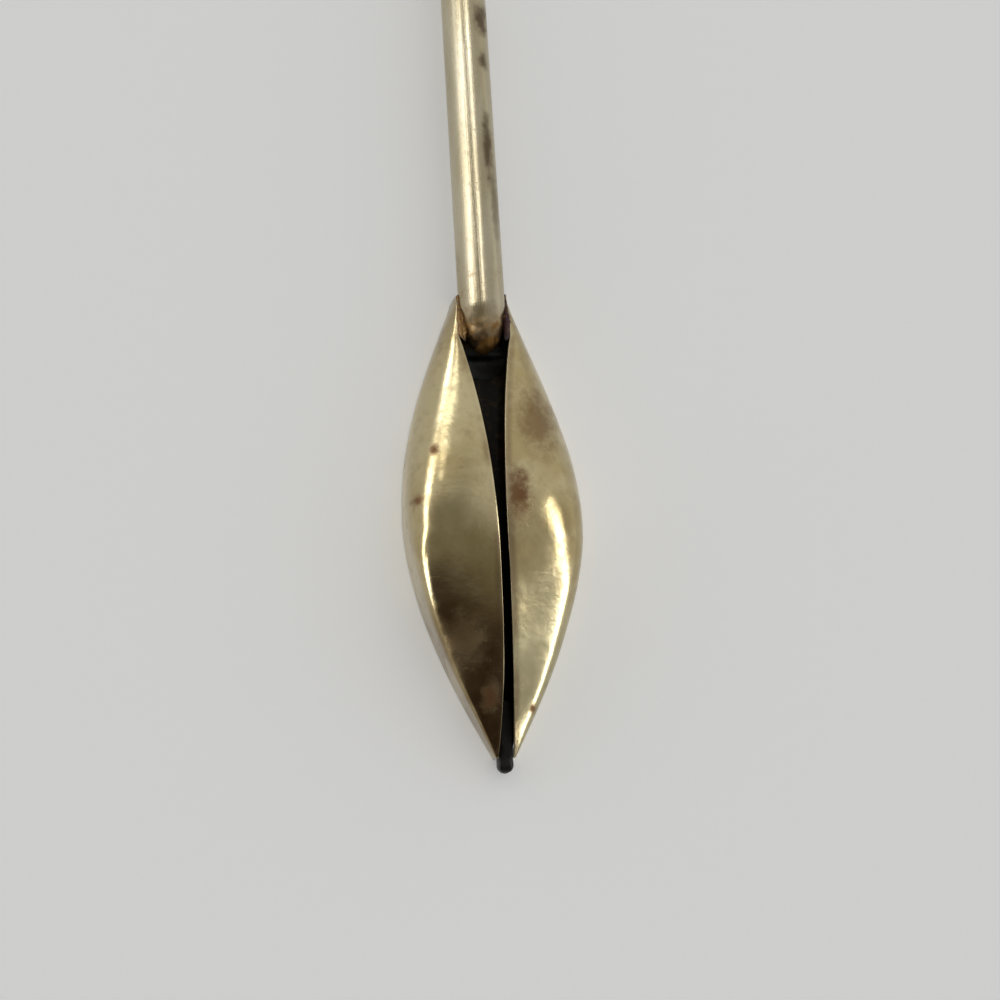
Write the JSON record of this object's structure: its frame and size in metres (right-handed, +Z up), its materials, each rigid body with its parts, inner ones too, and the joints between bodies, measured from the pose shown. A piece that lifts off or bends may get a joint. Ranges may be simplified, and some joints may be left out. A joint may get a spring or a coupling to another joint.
{
  "type": "candle snuffer",
  "caption": "Brass candle snuffer: a leaf-shaped hood of puffed half leaves joined along a slit and midrib, on a slim round handle rod, put over a flame to smother it.",
  "frame": {"origin": "middle of the length and width, on the plane of the hood's rim, on which the snuffer lies", "axes": "+Y along the handle from the leaf's tip to the handle's end, +Z up from the rim through the slit, +X across the leaf to the right half"},
  "size_m": [0.0194, 0.24, 0.01],
  "materials": {
    "leaf_brass": "aged polished sheet with brown spots",
    "rod_brass": "drawn rod, finely brushed along its length",
    "tarnished_brass": "dark tarnish, unpolished",
    "braze_metal": "brown oxidised braze"
  },
  "bodies": {
    "root": {"handle_stem": "rod_brass", "left_leaf": "leaf_brass", "right_leaf": "leaf_brass", "midrib_channel": "tarnished_brass", "left_neck_braze": "braze_metal", "right_neck_braze": "braze_metal", "stem_end_braze": "braze_metal", "tip_braze": "braze_metal", "left_seam_braze": "braze_metal", "right_seam_braze": "braze_metal"}
  },
  "joints": []
}
